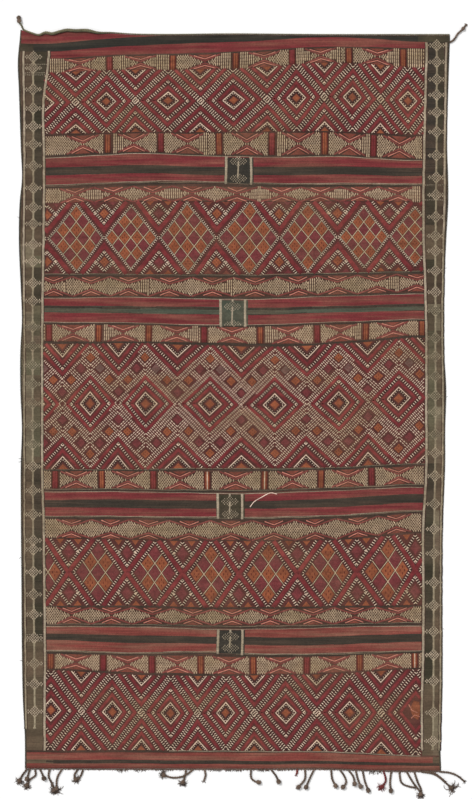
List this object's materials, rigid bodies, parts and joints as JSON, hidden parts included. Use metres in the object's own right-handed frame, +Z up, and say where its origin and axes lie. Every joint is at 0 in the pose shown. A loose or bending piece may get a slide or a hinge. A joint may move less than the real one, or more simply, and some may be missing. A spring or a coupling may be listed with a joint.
{
  "type": "moroccan rug",
  "caption": "Flat-woven, brocaded wool rug with zigzag and lozenge bands between plain stripes, patterned side borders, a heading cord and loose knotted warp ends, lying flat.",
  "frame": {"origin": "on the floor, in the middle of the whole rug's footprint", "axes": "+X across the rug to the right as seen from above with the heading at the top, +Y along its length towards the heading cord, +Z up out of the patterned face"},
  "size_m": [1.7976, 3.1316, 0.008],
  "materials": {
    "cloth_wool": "matt weft-faced wool with raised brocade",
    "cord_wool": "matt twined wool cord",
    "fringe_wool": "matt plied wool"
  },
  "bodies": {
    "root": {"cloth": "cloth_wool", "heading_cord": "cord_wool", "end_fringe": "fringe_wool"}
  },
  "joints": []
}
